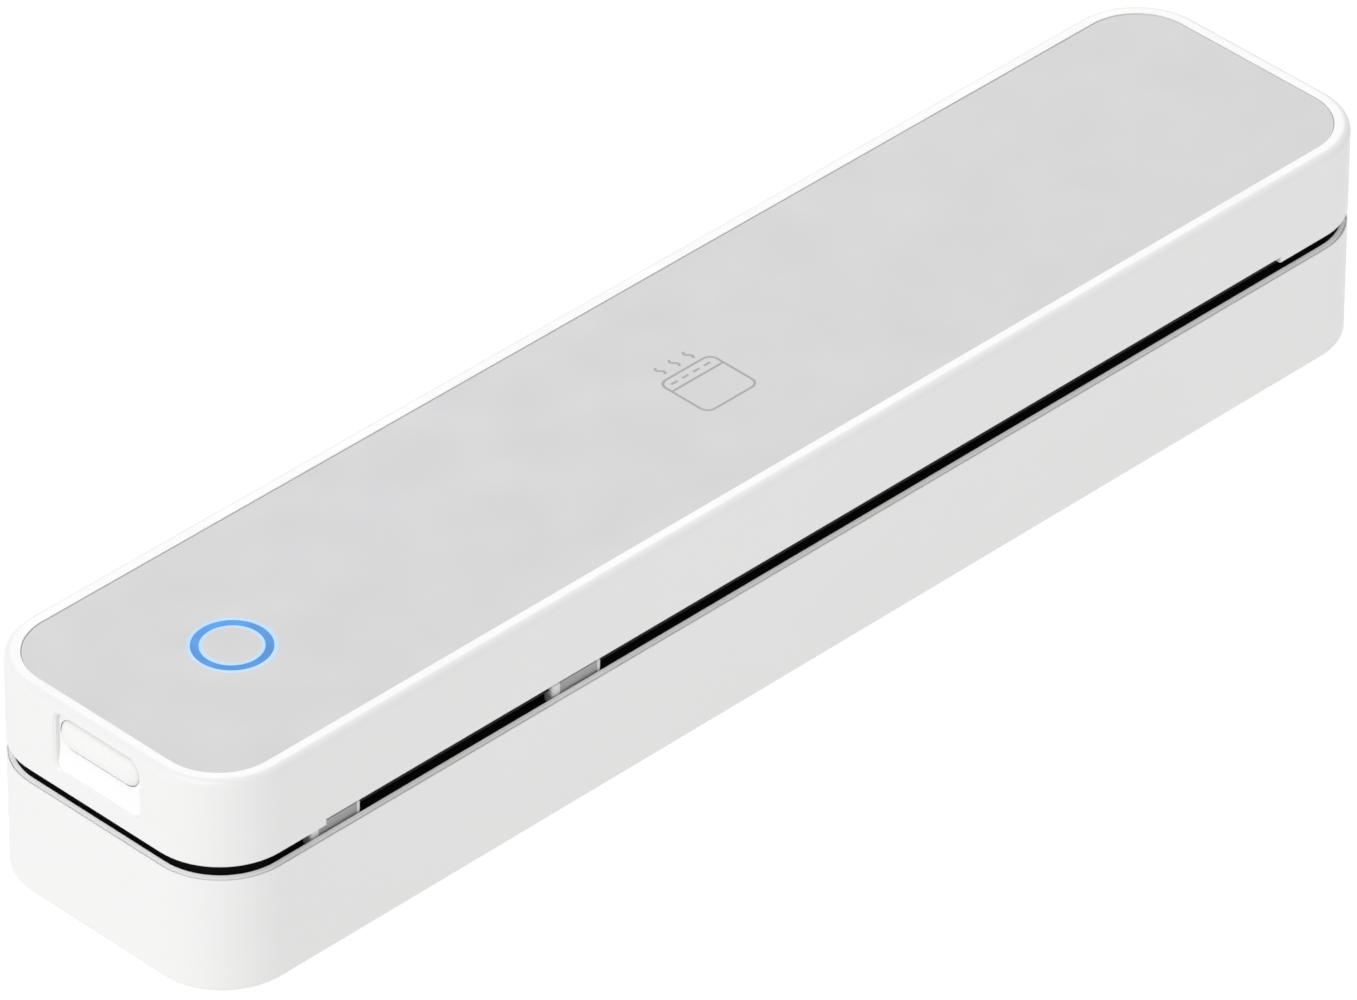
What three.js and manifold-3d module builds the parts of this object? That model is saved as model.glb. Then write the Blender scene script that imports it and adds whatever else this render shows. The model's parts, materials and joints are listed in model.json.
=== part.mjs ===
// Cordless bag heat sealer: a base with the heater, and a hinged arm that presses the bag onto it.
// Millimetres, +Z up, X along the length. The feet stand on Z = 0. The latch is at -X, the hinge at +X,
// and the slot that the bag enters faces -Y.
import * as THREE from "three";
import { mergeVertices } from "three/addons/utils/BufferGeometryUtils.js";
import Module from "manifold-3d";

const wasm = await Module();
wasm.setup();

// ---- driving dimensions ----
const LENGTH = 300;
const WIDTH = 64.2;
const CORNER = 15; // plan radius of the casing's corners
const FOOT_HEIGHT = 0.5;
const BASE_TOP = 25.7;
const ARM_BOTTOM = 28.3;
const TOP = 47;
const WALL = 2.2;
const LIP = 1.3; // wall of the base above the ledge that carries the deck
const GAP = 0.3; // assembly clearance between separate pieces
const HALF_X = LENGTH / 2;
const HALF_Y = WIDTH / 2;

// base
const FLOOR_TOP = FOOT_HEIGHT + WALL;
const DECK = { bottom: 22.1, top: 23.6 };
const WALL_RING = { inset: 3.2, width: 1.3, top: 28.2, front: 128, hingeX: 143.2 };
const SCREW = { x: 134, y: 20, head: 2.4, headHeight: 1, shank: 1.2 };
const BOSS = 3;
const SHOE = { x: 134, y: 20, radius: 4.5, recess: 0.6 }; // rubber feet

// hinge at the +X end, its axis along Y in the middle of the slot's height
const HINGE = { x: HALF_X - 3, z: (BASE_TOP + ARM_BOTTOM) / 2, knuckle: 3, pin: 1.15, bore: 1.25 };
const KNUCKLE_BASE = 4.5; // half length of the middle knuckle
const KNUCKLE_ARM = { from: 9, to: 14 };
const RELIEF = { radius: 3.35, half: 14.4 };

// heater and pad
const SEAL = { y: -20, half: 121, carrier: 3, pad: 2.4 };
const RIBBON = { half: 122.5, width: 3, bottom: 26.4, top: 26.6 };
const COVER = { half: 119, bottom: 26.75, top: 26.95 };
const PAD = { bottom: 27.25, top: 28.6 };

// arm
const LINER = { bottom: 30.2, top: 31.8, inset: 2.5 };
const NOTCH = { x0: -123.7, x1: 122.5, top: 29.55 }; // raised stretch of the arm's front edge
const PLATE = { inset: 3, gap: 0.25, bottom: 45.4, ledge: 45.3, shelf: 43.6, opening: 6.5 };
const RING = { x: -115.7, y: 0.2, outer: 7.5, inner: 6, hole: 7.75, disc: 5.8 };
const ARM_BOSS = { x: 105, y: 27.2, radius: 2.8, bottom: 32.1 };

// latch in the -X end of the arm
const WINDOW = { y0: -11.8, y1: 9.9, z0: 32.5, z1: 44.8, radius: 1.6 };
const BAR = { y0: -11.1, y1: 9.6, z0: 37.4, z1: 44.5, depth: 3 };
const POCKET = 6; // depth of the recess behind the latch bar
const BACK = 2; // wall behind the recess
const STEM = { y0: -6, y1: 4.5, z0: 40, z1: 43 };
const HOOK = { x0: -140.4, x1: -138.6, tip: -143.2, bottom: 24.4, nose: 26.2 };
const CATCH = { x0: -146.6, x1: -143.5, ledge: 26.5, top: 27.8 };
const LATCH_TRAVEL = 2.5;
const LATCH_Y = (STEM.y0 + STEM.y1) / 2;

// electronics
const CELL = { radius: 9.2, length: 65, y: 14, z: 12.6, starts: [-78, -11] };
const BOARD = { x0: 70, x1: 146, half: 15, bottom: 6.2, top: 7.8 };
const SOCKET = { width: 8.94, height: 3.26, depth: 7.4, wall: 0.3 };
const PLUNGER = { x: 100, y: 10, radius: 1.4, top: 26, collar: 2.2 };

// ---- geometry helpers ----
function solid(geometry) {
  const bare = geometry.index ? geometry.toNonIndexed() : geometry.clone();
  bare.deleteAttribute("normal");
  bare.deleteAttribute("uv");
  const merged = mergeVertices(bare, 1e-4);
  return new wasm.Manifold(
    new wasm.Mesh({
      numProp: 3,
      vertProperties: new Float32Array(merged.attributes.position.array),
      triVerts: new Uint32Array(merged.index.array),
    }),
  );
}

function geometryOf(made) {
  const mesh = made.getMesh();
  const geometry = new THREE.BufferGeometry();
  const places = new Float32Array(mesh.vertProperties);
  geometry.setAttribute("position", new THREE.BufferAttribute(places, 3));
  geometry.setIndex(new THREE.BufferAttribute(new Uint32Array(mesh.triVerts), 1));
  const flat = geometry.toNonIndexed();
  flat.computeVertexNormals();
  return flat;
}

const join = (...parts) => parts.reduce((a, b) => a.add(b));
const cut = (body, ...tools) => tools.reduce((a, b) => a.subtract(b), body);

function box(x0, x1, y0, y1, z0, z1) {
  const geometry = new THREE.BoxGeometry(x1 - x0, y1 - y0, z1 - z0);
  return solid(geometry.translate((x0 + x1) / 2, (y0 + y1) / 2, (z0 + z1) / 2));
}

// Upright cylinder, or one along "x" or "y"; a and b are the two coordinates across its axis, in X, Y, Z order.
function rod(axis, radius, a, b, from, to, sides = 24) {
  const geometry = new THREE.CylinderGeometry(radius, radius, to - from, sides);
  const middle = (from + to) / 2;
  if (axis === "y") return solid(geometry.translate(a, middle, b));
  if (axis === "x") return solid(geometry.rotateZ(Math.PI / 2).translate(middle, a, b));
  return solid(geometry.rotateX(Math.PI / 2).translate(a, b, middle));
}

function roundedRect(x0, x1, y0, y1, radius) {
  const shape = new THREE.Shape();
  shape.moveTo(x0 + radius, y0);
  shape.lineTo(x1 - radius, y0);
  shape.absarc(x1 - radius, y0 + radius, radius, -Math.PI / 2, 0);
  shape.lineTo(x1, y1 - radius);
  shape.absarc(x1 - radius, y1 - radius, radius, 0, Math.PI / 2);
  shape.lineTo(x0 + radius, y1);
  shape.absarc(x0 + radius, y1 - radius, radius, Math.PI / 2, Math.PI);
  shape.lineTo(x0, y0 + radius);
  shape.absarc(x0 + radius, y0 + radius, radius, Math.PI, Math.PI * 1.5);
  return shape;
}

// Directions of a shape's x, of its y, and of the extrusion, for a shape pulled along X, Y or Z.
const AXES = {
  x: [new THREE.Vector3(0, 1, 0), new THREE.Vector3(0, 0, 1), new THREE.Vector3(1, 0, 0)],
  y: [new THREE.Vector3(1, 0, 0), new THREE.Vector3(0, 0, 1), new THREE.Vector3(0, -1, 0)],
  z: [new THREE.Vector3(1, 0, 0), new THREE.Vector3(0, 1, 0), new THREE.Vector3(0, 0, 1)],
};

// The shape pulled along an axis between two coordinates, with its edges rounded by `round` at both ends.
function pulled(axis, shape, from, to, round = 0, arcSteps = 4) {
  const geometry = new THREE.ExtrudeGeometry(shape, {
    depth: to - from - 2 * round,
    bevelEnabled: round > 0,
    bevelSize: round,
    bevelThickness: round,
    bevelOffset: -round,
    bevelSegments: 2,
    curveSegments: arcSteps,
  });
  const start = axis === "y" ? to - round : from + round;
  geometry.applyMatrix4(new THREE.Matrix4().makeBasis(...AXES[axis]));
  const place = { x: [start, 0, 0], y: [0, start, 0], z: [0, 0, start] }[axis];
  return solid(geometry.translate(...place));
}

// The same for an outline given as straight-sided points across the axis.
function bar(axis, points, from, to) {
  const shape = new THREE.Shape(points.map(([u, v]) => new THREE.Vector2(u, v)));
  return pulled(axis, shape, from, to);
}

// A block with the casing's plan outline, drawn in by `inset`, with its top and bottom edges rounded.
function casing(inset, z0, z1, topRound = 0, bottomRound = 0) {
  const spare = 6;
  const radius = CORNER - inset;
  const shape = roundedRect(-HALF_X + inset, HALF_X - inset, -HALF_Y + inset, HALF_Y - inset, radius);
  if (!topRound && !bottomRound) return pulled("z", shape, z0, z1);
  const capped = pulled("z", shape, z0 - spare, z1, topRound);
  return capped.intersect(pulled("z", shape, z0, z1 + spare, bottomRound));
}

// A round wire of the given radius along a smooth curve through the points.
function wire(points, radius, steps, sides = 6) {
  const path = new THREE.CatmullRomCurve3(points.map((p) => new THREE.Vector3(...p)));
  const section = new THREE.Shape();
  for (let i = 0; i < sides; i++) {
    const turn = (i / sides) * Math.PI * 2;
    const place = [radius * Math.cos(turn), radius * Math.sin(turn)];
    if (i === 0) section.moveTo(...place);
    else section.lineTo(...place);
  }
  return solid(new THREE.ExtrudeGeometry(section, { steps, bevelEnabled: false, extrudePath: path }));
}

// Points of a coil about a line along "x" or "y".
function coil(axis, centre, radius, from, to, turns, perTurn = 10) {
  const count = Math.round(turns * perTurn);
  return Array.from({ length: count + 1 }, (_, i) => {
    const turn = (i / perTurn) * Math.PI * 2;
    const along = from + ((to - from) * i) / count;
    const u = centre[0] + radius * Math.cos(turn);
    const v = centre[1] + radius * Math.sin(turn);
    return axis === "x" ? [along, u, v] : [u, along, v];
  });
}

// ---- materials ----
const finish = (color, roughness, metalness = 0) => ({ color, roughness, metalness });
const WHITE = finish(0xf4f4f3, 0.32);
const GREY = finish(0xd6d6d6, 0.45);
const BLACK = finish(0x0c0c0d, 0.6);
const RUBBER = finish(0x1b1b1c, 0.85);
const STEEL = finish(0xb9bcc0, 0.3, 0.9);
const BRASS = finish(0xc9a45a, 0.35, 0.9);
const SILICONE = finish(0x8f3a2c, 0.75);
const COVER_CLOTH = finish(0x8a6a45, 0.6);
const STOP_GREY = finish(0xa4a5a7, 0.4);
const GLOW = finish(0x6ea5eb, 0.3);
const LATCH_WHITE = finish(0xf7f7f6, 0.28);
const BOARD_GREEN = finish(0x1f5a3c, 0.5);
const CELL_BLUE = finish(0x3d6f9e, 0.4);
const CRADLE = finish(0x2a2c2e, 0.6);
const RED = finish(0xa8231c, 0.5);

const sealer = new THREE.Group();
sealer.name = "bag_heat_sealer";

function add(name, made, look) {
  const mesh = new THREE.Mesh(geometryOf(made), new THREE.MeshStandardMaterial(look));
  mesh.name = name;
  sealer.add(mesh);
}

// ---- base ----
function baseShell() {
  const outer = casing(0, FOOT_HEIGHT, BASE_TOP, 0.8, 0.8);
  const hollow = casing(WALL, FLOOR_TOP, BASE_TOP + 1);
  const seat = casing(LIP, DECK.bottom - 0.1, BASE_TOP + 1);
  const corners = [-1, 1].flatMap((sx) => [-1, 1].map((sy) => [sx, sy]));
  const recess = corners.map(([sx, sy]) =>
    rod("z", SHOE.radius + GAP, sx * SHOE.x, sy * SHOE.y, 0, FOOT_HEIGHT + SHOE.recess, 28),
  );
  const relief = rod("y", RELIEF.radius, HINGE.x, HINGE.z, -RELIEF.half, RELIEF.half, 28);
  let shell = cut(outer, hollow, seat, ...recess, relief);
  for (const [sx, sy] of corners) {
    shell = join(shell, rod("z", BOSS, sx * SCREW.x, sy * SCREW.y, FLOOR_TOP - 0.5, DECK.bottom - 0.1, 20));
  }
  for (const [sx, sy] of corners) {
    shell = cut(shell, rod("z", SCREW.shank + 0.1, sx * SCREW.x, sy * SCREW.y, 12, DECK.bottom + 1, 12));
  }
  const web = box(HINGE.x - HINGE.knuckle, HALF_X, -KNUCKLE_BASE, KNUCKLE_BASE, DECK.bottom - 1, HINGE.z);
  const knuckle = rod("y", HINGE.knuckle, HINGE.x, HINGE.z, -KNUCKLE_BASE, KNUCKLE_BASE, 28);
  shell = join(shell, web, knuckle);
  const bore = rod("y", HINGE.bore, HINGE.x, HINGE.z, -RELIEF.half, RELIEF.half, 24);
  return cut(shell, bore, socketBlock(GAP, HALF_X - WALL - 1, HALF_X + 1));
}

// The socket's stadium section, grown all round and pulled along X, standing on the board.
function socketBlock(grow, x0, x1) {
  const halfW = SOCKET.width / 2 + grow;
  const halfH = SOCKET.height / 2 + grow;
  const z = BOARD.top + 0.1 + SOCKET.height / 2;
  return pulled("x", roundedRect(-halfW, halfW, z - halfH, z + halfH, halfH - 0.05), x0, x1);
}

function chargeSocket() {
  const mouth = HALF_X - 0.4;
  const back = mouth - SOCKET.depth;
  const tongue = box(back + 0.5, mouth - 1, -3.3, 3.3, BOARD.top + 1.38, BOARD.top + 2.08);
  const inside = socketBlock(-SOCKET.wall, back + 0.6, mouth + 1);
  return join(cut(socketBlock(0, back, mouth), inside), tongue);
}

function baseDeck() {
  const holes = [-1, 1].flatMap((sx) =>
    [-1, 1].map((sy) => rod("z", SCREW.shank + GAP, sx * SCREW.x, sy * SCREW.y, 20, 26, 14)),
  );
  const plungerHole = rod("z", PLUNGER.radius + GAP, PLUNGER.x, PLUNGER.y, 20, 26, 20);
  const leadHoles = [-1, 1].map((s) => rod("z", 1.4, s * 126, -14.5, 20, 26, 12));
  const harnessHole = box(138, 141.5, -6, -3, 20, 26);
  const slotX = HINGE.x - HINGE.knuckle - GAP;
  const slotY = KNUCKLE_BASE + GAP;
  const knuckleSlot = box(slotX, HALF_X, -slotY, slotY, 20, 26);
  const plate = join(casing(LIP + GAP, DECK.bottom, DECK.top), deckWall());
  return cut(plate, ...holes, plungerHole, ...leadHoles, harnessHole, knuckleSlot);
}

// Wall that closes the slot at the back and the ends. It leaves room for the latch catch and the hinge,
// and stops short of the front, where the bag goes in.
function deckWall() {
  const low = DECK.top - 0.5;
  const outside = casing(WALL_RING.inset, low, WALL_RING.top);
  const ring = cut(outside, casing(WALL_RING.inset + WALL_RING.width, low - 1, WALL_RING.top + 1));
  const front = box(-WALL_RING.front, WALL_RING.front, -HALF_Y, -HALF_Y + 12, low - 1, WALL_RING.top + 1);
  const atLatch = box(-HALF_X, -HALF_X + 10, LATCH_Y - 5.4, LATCH_Y + 5.4, low - 1, WALL_RING.top + 1);
  const atHinge = box(HALF_X - 8, HALF_X, -RELIEF.half - GAP, RELIEF.half + GAP, low - 1, WALL_RING.top + 1);
  const inner = box(WALL_RING.hingeX - WALL_RING.width, WALL_RING.hingeX, -15.5, 15.5, low, WALL_RING.top);
  return join(cut(ring, front, atLatch, atHinge), inner);
}

function heaterCarrier() {
  const { y, carrier } = SEAL;
  const profile = [
    [y - carrier, DECK.top + 0.1],
    [y + carrier, DECK.top + 0.1],
    [y + carrier, 25.6],
    [y + carrier - 0.7, 26.3],
    [y - carrier + 0.7, 26.3],
    [y - carrier, 25.6],
  ];
  return bar("x", profile, -SEAL.half, SEAL.half);
}

function coverStrip() {
  const { y, carrier } = SEAL;
  const outside = carrier + 0.5;
  const inside = carrier + 0.3;
  const profile = [
    [y - outside, 24],
    [y - inside, 24],
    [y - inside, 25.75],
    [y - inside + 1, COVER.bottom],
    [y + inside - 1, COVER.bottom],
    [y + inside, 25.75],
    [y + inside, 24],
    [y + outside, 24],
    [y + outside, 25.85],
    [y + outside - 1.1, COVER.top],
    [y - outside + 1.1, COVER.top],
    [y - outside, 25.85],
  ];
  return bar("x", profile, -COVER.half, COVER.half);
}

function ribbonClamp(side) {
  const near = side * (RIBBON.half + GAP);
  const far = side * (RIBBON.half + 6);
  const ends = [Math.min(near, far), Math.max(near, far)];
  const block = box(...ends, SEAL.y - 2.5, SEAL.y + 2.5, DECK.top + 0.1, 26.2);
  const head = rod("z", 1.6, side * (RIBBON.half + 3.2), SEAL.y, 26.1, 26.9, 16);
  return join(block, head);
}

function bagStop(x) {
  const outline = roundedRect(x - 6.15, x + 6.15, -HALF_Y + 1.6, -HALF_Y + 4, 1.1);
  return pulled("z", outline, DECK.top + 0.1, 28, 0.5, 2);
}

function latchCatch() {
  const profile = [
    [CATCH.x0, DECK.top + 0.1],
    [CATCH.x0 + 1.3, DECK.top + 0.1],
    [CATCH.x0 + 1.3, CATCH.ledge],
    [CATCH.x1, CATCH.ledge],
    [CATCH.x1, CATCH.top - 0.9],
    [CATCH.x1 - 0.9, CATCH.top],
    [CATCH.x0, CATCH.top],
  ];
  return bar("y", profile, LATCH_Y - 5, LATCH_Y + 5);
}

function cell(start) {
  const end = start + CELL.length;
  const can = rod("x", CELL.radius, CELL.y, CELL.z, start, end - 1.2, 28);
  return join(can, rod("x", 3, CELL.y, CELL.z, end - 1.3, end, 14));
}

function cellCradle() {
  const first = CELL.starts[0];
  const last = CELL.starts[1] + CELL.length;
  const block = box(first - 2.5, last + 2.5, CELL.y - 10.4, CELL.y + 10.4, FLOOR_TOP + 0.1, 17);
  const bed = (x) => rod("x", CELL.radius + GAP, CELL.y, CELL.z, x - 0.4, x + CELL.length + 0.4, 28);
  const beds = CELL.starts.map(bed);
  return cut(block, ...beds);
}

function mainBoard() {
  return box(BOARD.x0, BOARD.x1, -BOARD.half, BOARD.half, BOARD.bottom, BOARD.top);
}

// Coil former and its core, with the driver's heat spreader beside it.
function powerStage() {
  const foot = box(76, 92, -11, 3, BOARD.top + 0.1, BOARD.top + 2.2);
  const winding = rod("z", 5.6, 83, -4, BOARD.top + 2, BOARD.top + 9, 20);
  return join(foot, winding, box(89, 91, -10, 2, BOARD.top + 2, BOARD.top + 8));
}

function safetySwitch() {
  const { x, y } = PLUNGER;
  const body = box(x - 6.4, x + 6.4, y - 3, y + 3, BOARD.top + 0.1, 17.6);
  return join(body, box(x - 1.5, x + 1.5, y - 1.2, y + 1.2, 17.5, 17.9));
}

function switchPlunger() {
  const { x, y } = PLUNGER;
  const pin = rod("z", PLUNGER.radius, x, y, 18.2, PLUNGER.top, 20);
  return join(pin, rod("z", PLUNGER.collar, x, y, 19, 20.2, 20));
}

function hingePin() {
  return rod("y", HINGE.pin, HINGE.x, HINGE.z, -13.7, 13.7, 20);
}

function hingeSpring() {
  const turns = 5;
  const path = coil("y", [HINGE.x, HINGE.z], 2, 5.2, 8.4, turns, 10);
  const legDown = [
    [HINGE.x - 3.4, 5.1, HINGE.z - 1.9],
    [HINGE.x - 1.5, 5.1, HINGE.z - 2],
    [HINGE.x + 0.4, 5.12, HINGE.z - 1.98],
  ];
  const legUp = [
    [HINGE.x + 0.4, 8.48, HINGE.z + 1.98],
    [HINGE.x - 1.5, 8.5, HINGE.z + 2],
    [HINGE.x - 3.4, 8.5, HINGE.z + 1.9],
  ];
  return wire([...legDown, ...path, ...legUp], 0.25, 70, 5);
}

function rubberFoot(sx, sy) {
  const profile = [
    new THREE.Vector2(0, 0),
    new THREE.Vector2(SHOE.radius - 0.4, 0),
    new THREE.Vector2(SHOE.radius, 0.4),
    new THREE.Vector2(SHOE.radius, FOOT_HEIGHT + SHOE.recess - 0.1),
    new THREE.Vector2(0, FOOT_HEIGHT + SHOE.recess - 0.1),
  ];
  const geometry = new THREE.LatheGeometry(profile, 28);
  return solid(geometry.rotateX(Math.PI / 2)).translate([sx * SHOE.x, sy * SHOE.y, 0]);
}

function deckScrew(sx, sy) {
  const x = sx * SCREW.x;
  const y = sy * SCREW.y;
  const under = DECK.top + 0.1;
  const head = rod("z", SCREW.head, x, y, under, under + SCREW.headHeight, 18);
  const slot = box(x - 1.6, x + 1.6, y - 0.25, y + 0.25, under + 0.5, under + 2);
  const cross = box(x - 0.25, x + 0.25, y - 1.6, y + 1.6, under + 0.5, under + 2);
  return join(cut(head, slot, cross), rod("z", SCREW.shank, x, y, 13, under + 0.1, 12));
}

function buildBase() {
  add("base_shell", baseShell(), WHITE);
  add("base_deck", baseDeck(), BLACK);
  add("heater_carrier", heaterCarrier(), BLACK);
  const half = RIBBON.width / 2;
  const ribbon = box(-RIBBON.half, RIBBON.half, SEAL.y - half, SEAL.y + half, RIBBON.bottom, RIBBON.top);
  add("heating_ribbon", ribbon, STEEL);
  add("cover_strip", coverStrip(), COVER_CLOTH);
  add("ribbon_clamp_left", ribbonClamp(-1), BRASS);
  add("ribbon_clamp_right", ribbonClamp(1), BRASS);
  add("bag_stop_left", bagStop(-119.85), STOP_GREY);
  add("bag_stop_middle", bagStop(-60.05), STOP_GREY);
  add("latch_catch", latchCatch(), BLACK);
  add("cell_1", cell(CELL.starts[0]), CELL_BLUE);
  add("cell_2", cell(CELL.starts[1]), CELL_BLUE);
  add("cell_cradle", cellCradle(), CRADLE);
  add("main_board", mainBoard(), BOARD_GREEN);
  add("power_stage", powerStage(), CRADLE);
  add("charge_socket", chargeSocket(), STEEL);
  add("safety_switch", safetySwitch(), BLACK);
  add("hinge_pin", hingePin(), STEEL);
  add("hinge_spring", hingeSpring(), STEEL);
  let count = 0;
  for (const sx of [-1, 1]) {
    for (const sy of [-1, 1]) {
      count += 1;
      add(`foot_${count}`, rubberFoot(sx, sy), RUBBER);
      add(`deck_screw_${count}`, deckScrew(sx, sy), STEEL);
    }
  }
  buildLeads();
}

function buildLeads() {
  const plus = [[56.8, 8, 19], [60, 6, 19], [66, 2, 16], [72, 6, 11], [72, 6, 8.6]];
  const minus = [[-79, 2, 15], [-70, 0.5, 17], [0, 0, 17], [55, -2, 14], [72, -8, 11], [73, -8, 8.6]];
  const leftDrop = [[-126, -14.5, 25.4], [-126, -14.5, 20], [-110, -10, 15]];
  const heaterLeft = [...leftDrop, [0, -12, 12], [60, -13, 12], [72, -13, 8.9]];
  const heaterRight = [[126, -14.5, 25.4], [126, -14.5, 20], [124, -12, 14], [122, -10, 8.9]];
  const harness = [[128, 0, 8.6], [129, -1, 14], [139.8, -4.5, 19], [140, -4.5, 24.8]];
  add("lead_plus", wire(plus, 0.7, 14), RED);
  add("lead_minus", wire(minus, 0.7, 26), BLACK);
  add("heater_lead_left", wire(heaterLeft, 0.8, 30), RED);
  add("heater_lead_right", wire(heaterRight, 0.8, 16), RED);
  add("harness_base", wire(harness, 0.9, 18), BLACK);
}

// ---- arm ----
function armShell() {
  const outer = casing(0, ARM_BOTTOM, TOP, 1.5, 0.3);
  const hollow = casing(WALL, ARM_BOTTOM - 1, PLATE.shelf);
  const opening = casing(PLATE.opening, PLATE.shelf - 1, TOP + 1);
  const seat = casing(PLATE.inset, PLATE.ledge, TOP + 1);
  const relief = rod("y", RELIEF.radius, HINGE.x, HINGE.z, -RELIEF.half, RELIEF.half, 28);
  const notch = box(NOTCH.x0, NOTCH.x1, -HALF_Y - 1, -HALF_Y + WALL + 0.5, ARM_BOTTOM - 1, NOTCH.top);
  const inner = -HALF_X + POCKET + BACK;
  const blockEnds = [LINER.top + 0.1, PLATE.shelf + 0.5];
  const block = box(-HALF_X + 1.4, inner, WINDOW.y0 - 2, WINDOW.y1 + 2, ...blockEnds);
  let shell = join(cut(outer, hollow, opening, seat, relief, notch), block);
  const stemHole = [STEM.y0 - GAP, STEM.y1 + GAP, STEM.z0 - GAP, STEM.z1 + GAP];
  shell = cut(shell, latchRecess(), box(inner - BACK - 1, inner + 1, ...stemHole));
  for (const sx of [-1, 1]) {
    for (const sy of [-1, 1]) {
      const x = sx * ARM_BOSS.x;
      const y = sy * ARM_BOSS.y;
      shell = join(shell, rod("z", ARM_BOSS.radius, x, y, ARM_BOSS.bottom, PLATE.shelf + 0.5, 18));
      shell = cut(shell, rod("z", SCREW.shank + 0.1, x, y, ARM_BOSS.bottom - 1, 41, 12));
    }
  }
  for (const side of [-1, 1]) {
    const y0 = side > 0 ? KNUCKLE_ARM.from : -KNUCKLE_ARM.to;
    const y1 = side > 0 ? KNUCKLE_ARM.to : -KNUCKLE_ARM.from;
    const web = box(HINGE.x - HINGE.knuckle, HALF_X, y0, y1, HINGE.z, LINER.bottom + 4);
    shell = join(shell, web, rod("y", HINGE.knuckle, HINGE.x, HINGE.z, y0, y1, 28));
  }
  return cut(shell, rod("y", HINGE.bore, HINGE.x, HINGE.z, -RELIEF.half, RELIEF.half, 24));
}

// The finger recess: deep behind the latch bar, and sloping out to the casing's face below it.
function latchRecess() {
  const face = -HALF_X;
  const profile = [
    [face - 1, WINDOW.z0],
    [face, WINDOW.z0],
    [face + BAR.depth, BAR.z0 - 0.6],
    [face + POCKET, BAR.z0 - 0.6],
    [face + POCKET, WINDOW.z1],
    [face - 1, WINDOW.z1],
  ];
  const frame = roundedRect(WINDOW.y0, WINDOW.y1, WINDOW.z0, WINDOW.z1, WINDOW.radius);
  const slope = bar("y", profile, WINDOW.y0 - 1, WINDOW.y1 + 1);
  return slope.intersect(pulled("x", frame, face - 2, face + POCKET + 2));
}

function topPlate() {
  const plate = casing(PLATE.inset + PLATE.gap, PLATE.bottom, TOP);
  return cut(plate, rod("z", RING.hole, RING.x, RING.y, PLATE.bottom - 1, TOP + 1, 48));
}

function lightRing() {
  const profile = [
    new THREE.Vector2(RING.inner - 1, 44.6),
    new THREE.Vector2(RING.outer + 1.3, 44.6),
    new THREE.Vector2(RING.outer + 1.3, PLATE.bottom - 0.15),
    new THREE.Vector2(RING.outer, PLATE.bottom - 0.15),
    new THREE.Vector2(RING.outer, TOP),
    new THREE.Vector2(RING.inner, TOP),
    new THREE.Vector2(RING.inner, PLATE.bottom - 0.15),
    new THREE.Vector2(RING.inner - 1, PLATE.bottom - 0.15),
    new THREE.Vector2(RING.inner - 1, 44.6),
  ];
  return solid(new THREE.LatheGeometry(profile, 36).rotateX(Math.PI / 2)).translate([RING.x, RING.y, 0]);
}

// A board with a ring of lamps that stand under the light ring.
function touchBoard() {
  let board = box(-131, -98, -12, 12, 40.6, 41.8);
  for (let i = 0; i < 8; i++) {
    const turn = (i / 8) * Math.PI * 2;
    const x = RING.x + 6.75 * Math.cos(turn);
    const y = RING.y + 6.75 * Math.sin(turn);
    board = join(board, box(x - 1, x + 1, y - 1, y + 1, 41.7, 42.6));
  }
  return board;
}

function armLiner() {
  const holes = [-1, 1].flatMap((sx) =>
    [-1, 1].map((sy) => rod("z", SCREW.shank + GAP, sx * ARM_BOSS.x, sy * ARM_BOSS.y, 29, 33, 14)),
  );
  const hookSlot = box(-144.5, HOOK.x1 + LATCH_TRAVEL + GAP, LATCH_Y - 6.2, LATCH_Y + 6.2, 29, 33);
  const hingeSlot = box(HINGE.x - HINGE.knuckle - 0.5, HALF_X, -RELIEF.half, RELIEF.half, 29, 33);
  const harnessHole = box(136, 139, -6, -3, 29, 33);
  const whole = casing(LINER.inset, LINER.bottom, LINER.top);
  const plate = cut(whole, ...holes, hookSlot, hingeSlot, harnessHole);
  const striker = rod("z", 2, PLUNGER.x, PLUNGER.y, PLUNGER.top + GAP, LINER.bottom + 0.5, 18);
  const rib = box(-130, -128.4, LATCH_Y - 5, LATCH_Y + 5, LINER.top - 0.5, 39.8);
  return join(plate, striker, rib);
}

function pressBar() {
  const { y, pad, half } = SEAL;
  return box(-half, half, y - pad - 0.4, y + pad + 0.4, PAD.top + 0.1, LINER.bottom - 0.1);
}

function siliconePad() {
  const { y, pad, half } = SEAL;
  const profile = [
    [y - pad + 0.6, PAD.bottom],
    [y + pad - 0.6, PAD.bottom],
    [y + pad, PAD.bottom + 0.5],
    [y + pad, PAD.top],
    [y - pad, PAD.top],
    [y - pad, PAD.bottom + 0.5],
  ];
  return bar("x", profile, -half, half);
}

function linerScrew(sx, sy) {
  const x = sx * ARM_BOSS.x;
  const y = sy * ARM_BOSS.y;
  const over = LINER.bottom - 0.1;
  const head = rod("z", 2.2, x, y, over - SCREW.headHeight, over, 18);
  const slot = box(x - 1.5, x + 1.5, y - 0.25, y + 0.25, over - 2, over - 0.5);
  const cross = box(x - 0.25, x + 0.25, y - 1.5, y + 1.5, over - 2, over - 0.5);
  return join(cut(head, slot, cross), rod("z", SCREW.shank, x, y, over - 0.1, 40, 12));
}

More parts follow.
